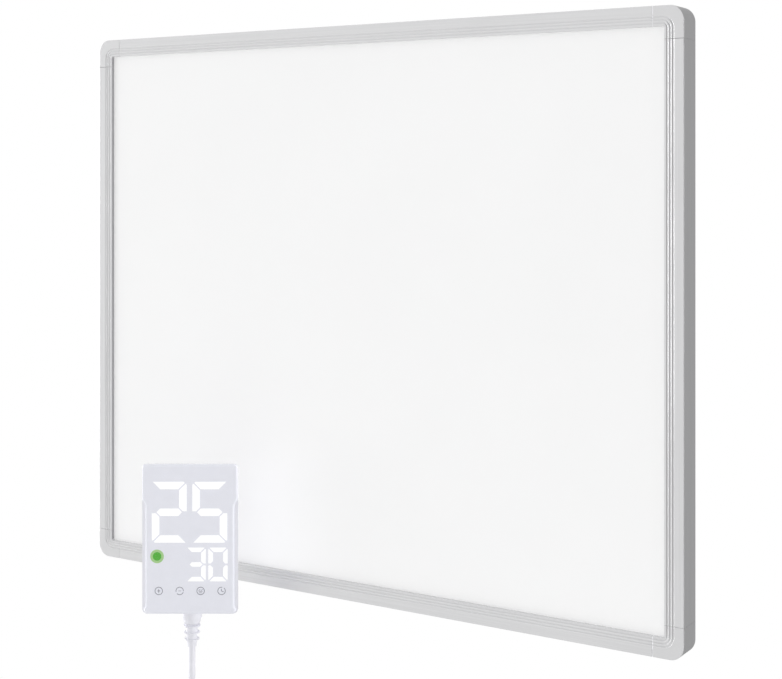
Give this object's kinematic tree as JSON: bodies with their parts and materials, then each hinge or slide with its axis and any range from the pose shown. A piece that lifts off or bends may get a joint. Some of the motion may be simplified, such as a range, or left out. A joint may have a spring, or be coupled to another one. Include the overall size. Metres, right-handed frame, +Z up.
{
  "type": "infrared panel heater",
  "caption": "Wall-hung infrared panel heater: white sheet in a grooved aluminium frame, hung on a wall rail, with a lead and a plug-in thermostat controller.",
  "frame": {"origin": "middle of the wall rail's four screw holes, on the wall's surface", "axes": "+X to the right as seen from the room, along the panel's width; +Y into the wall, square to it; +Z up"},
  "size_m": [0.6, 0.1488, 0.6332],
  "materials": {
    "satin_aluminium": "satin anodised, brushed along the rail",
    "silver_plastic": "silver-grey moulding",
    "white_coating": "matt powder coat on steel sheet",
    "back_coating": "matt powder coat on steel sheet",
    "carbon_film": "matt",
    "copper": "bare strip",
    "foil": "bright foil",
    "mineral_board": "compressed wool",
    "galvanised_steel": "zinc coated",
    "zinc_screw": "zinc plated",
    "grey_plastic": "moulded",
    "black_rubber": "matt",
    "terminal_plastic": "moulded",
    "wire_jacket": "soft jacket",
    "cord_jacket": "soft PVC jacket",
    "tie_plastic": "nylon",
    "controller_plastic": "gloss moulding",
    "shell_plastic": "gloss moulding",
    "lit_segment": "lit from behind",
    "green_lens": "lit from behind",
    "pale_green_ring": "lit from behind",
    "board_laminate": "solder mask",
    "blue_plastic": "moulded case",
    "dark_plastic": "moulded",
    "nickel": "nickel plated"
  },
  "bodies": {
    "wall_rail": {"wall_rail": "galvanised_steel"},
    "panel": {"frame_rail_top": "satin_aluminium", "frame_rail_right": "satin_aluminium", "frame_rail_bottom": "satin_aluminium", "frame_rail_left": "satin_aluminium", "corner_top_right": "silver_plastic", "corner_bottom_right": "silver_plastic", "corner_bottom_left": "silver_plastic", "corner_top_left": "silver_plastic", "corner_screws": "zinc_screw", "heating_sheet": "white_coating", "heating_film": "carbon_film", "busbars": "copper", "reflector_foil": "foil", "insulation_board": "mineral_board", "back_plate": "back_coating", "hook_rail": "galvanised_steel", "hook_rivets": "zinc_screw", "lower_spacers": "grey_plastic", "spacer_pads": "black_rubber", "spacer_screws": "zinc_screw", "junction_box_base": "grey_plastic", "junction_box_cover": "grey_plastic", "junction_box_screws": "zinc_screw", "terminal_block": "terminal_plastic", "terminal_screws": "zinc_screw", "earth_stud": "zinc_screw", "wire_grommet": "black_rubber", "overheat_cutout": "dark_plastic", "inner_wires": "wire_jacket", "inlet_strain_relief": "cord_jacket", "inlet_lead": "cord_jacket", "inlet_cores": "wire_jacket", "inlet_clamp": "terminal_plastic", "power_cord_upper": "cord_jacket", "power_cord_coil": "cord_jacket", "power_cord_lower": "cord_jacket", "cord_tie": "tie_plastic", "cord_tie_mount": "tie_plastic", "controller_front_cover": "controller_plastic", "controller_rear_shell": "shell_plastic", "controller_boot": "shell_plastic", "controller_lead": "cord_jacket", "controller_cores": "wire_jacket", "controller_clamp": "terminal_plastic", "circuit_board": "board_laminate", "controller_screws": "zinc_screw", "power_module": "blue_plastic", "relay": "dark_plastic", "capacitor": "dark_plastic", "large_digits": "lit_segment", "small_digits": "lit_segment", "status_lens": "green_lens", "status_ring": "pale_green_ring", "touch_pads": "dark_plastic", "temperature_sensor": "dark_plastic", "plug_insert": "shell_plastic", "plug_pins": "nickel", "earth_contact": "nickel"}
  },
  "joints": [
    {"name": "panel_lift", "type": "slide", "parent": "wall_rail", "child": "panel", "axis": [0, 0, 1], "range_m": [0, 0.014]}
  ]
}
